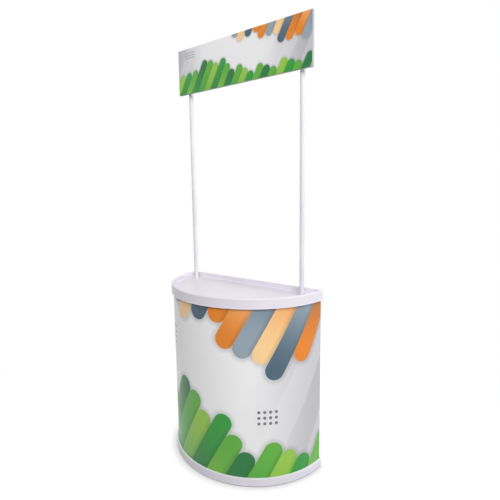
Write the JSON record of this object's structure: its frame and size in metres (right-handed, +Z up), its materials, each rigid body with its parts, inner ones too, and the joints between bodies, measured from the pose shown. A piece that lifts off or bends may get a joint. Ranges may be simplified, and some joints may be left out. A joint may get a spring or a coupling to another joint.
{
  "type": "exhibition counter",
  "caption": "Free-standing D-shaped exhibition counter with a curved printed front, open back with shelf, and a header board on plug-in poles.",
  "frame": {"origin": "centre of the footprint box, on the floor under the rubber feet", "axes": "+Z up; -Y towards the curved printed front; +X to the right of someone who faces the front"},
  "size_m": [0.816, 0.399, 2.0059],
  "materials": {
    "tray_plastic": "white moulded ABS, satin gloss",
    "panel_sheet": "white polypropylene sheet, fine matt grain",
    "printed_film": null,
    "fitting_plastic": "light grey moulded plastic",
    "pole_paint": "white paint on aluminium tube, semi-gloss",
    "header_foam": "white foamed PVC board with matt cut edges",
    "screw_steel": "zinc-plated steel",
    "foot_rubber": "dark matt rubber"
  },
  "bodies": {
    "base_unit": {"base_tray": "tray_plastic", "foot_1": "foot_rubber", "foot_2": "foot_rubber", "foot_3": "foot_rubber", "foot_4": "foot_rubber", "foot_5": "foot_rubber"},
    "panel_unit": {"front_panel": "panel_sheet", "body_graphic": "printed_film", "edge_strip_left": "fitting_plastic", "edge_strip_right": "fitting_plastic", "shelf_bracket_1": "tray_plastic", "shelf_bracket_2": "tray_plastic", "shelf_bracket_3": "tray_plastic", "shelf_bracket_4": "tray_plastic", "bracket_rivet_1": "fitting_plastic", "bracket_rivet_2": "fitting_plastic", "bracket_rivet_3": "fitting_plastic", "bracket_rivet_4": "fitting_plastic", "bracket_rivet_5": "fitting_plastic", "bracket_rivet_6": "fitting_plastic", "bracket_rivet_7": "fitting_plastic", "bracket_rivet_8": "fitting_plastic"},
    "shelf_unit": {"shelf": "tray_plastic"},
    "top_unit": {"countertop": "tray_plastic", "pole_socket_left": "tray_plastic", "pole_socket_right": "tray_plastic", "socket_screw_1": "screw_steel", "socket_screw_2": "screw_steel", "socket_screw_3": "screw_steel", "socket_screw_4": "screw_steel", "socket_screw_5": "screw_steel", "socket_screw_6": "screw_steel"},
    "lower_left": {"lower_pole_left": "pole_paint", "pole_foot_left": "fitting_plastic", "pole_joiner_left": "fitting_plastic"},
    "lower_right": {"lower_pole_right": "pole_paint", "pole_foot_right": "fitting_plastic", "pole_joiner_right": "fitting_plastic"},
    "upper_left": {"upper_pole_left": "pole_paint", "pole_cap_left": "fitting_plastic"},
    "upper_right": {"upper_pole_right": "pole_paint", "pole_cap_right": "fitting_plastic"},
    "header_unit": {"header_board": "header_foam", "header_graphic": "printed_film", "header_clip_left": "tray_plastic", "header_clip_right": "tray_plastic", "header_screw_1": "screw_steel", "header_screw_2": "screw_steel", "header_screw_3": "screw_steel", "header_screw_4": "screw_steel", "header_screw_5": "screw_steel", "header_screw_6": "screw_steel", "header_screw_7": "screw_steel", "header_screw_8": "screw_steel"}
  },
  "joints": [
    {"name": "panel_lift", "type": "slide", "parent": "base_unit", "child": "panel_unit", "axis": [0, 0, 1], "range_m": [0, 0.04]},
    {"name": "shelf_pull", "type": "slide", "parent": "panel_unit", "child": "shelf_unit", "axis": [0, 1, 0], "range_m": [0, 0.385]},
    {"name": "top_lift", "type": "slide", "parent": "panel_unit", "child": "top_unit", "axis": [0, 0, 1], "range_m": [0, 0.09]},
    {"name": "lower_pole_left_pull", "type": "slide", "parent": "top_unit", "child": "lower_left", "axis": [0, 0, 1], "range_m": [0, 0.09]},
    {"name": "lower_pole_right_pull", "type": "slide", "parent": "top_unit", "child": "lower_right", "axis": [0, 0, 1], "range_m": [0, 0.09]},
    {"name": "upper_pole_left_pull", "type": "slide", "parent": "lower_left", "child": "upper_left", "axis": [0, 0, 1], "range_m": [0, 0.06]},
    {"name": "upper_pole_right_pull", "type": "slide", "parent": "lower_right", "child": "upper_right", "axis": [0, 0, 1], "range_m": [0, 0.06]},
    {"name": "header_lift", "type": "slide", "parent": "upper_left", "child": "header_unit", "axis": [0, 0, 1], "range_m": [0, 0.14]}
  ],
  "couplings": [
    {"joint": "lower_pole_right_pull", "follows": "lower_pole_left_pull", "ratio": 1},
    {"joint": "upper_pole_right_pull", "follows": "upper_pole_left_pull", "ratio": 1}
  ]
}
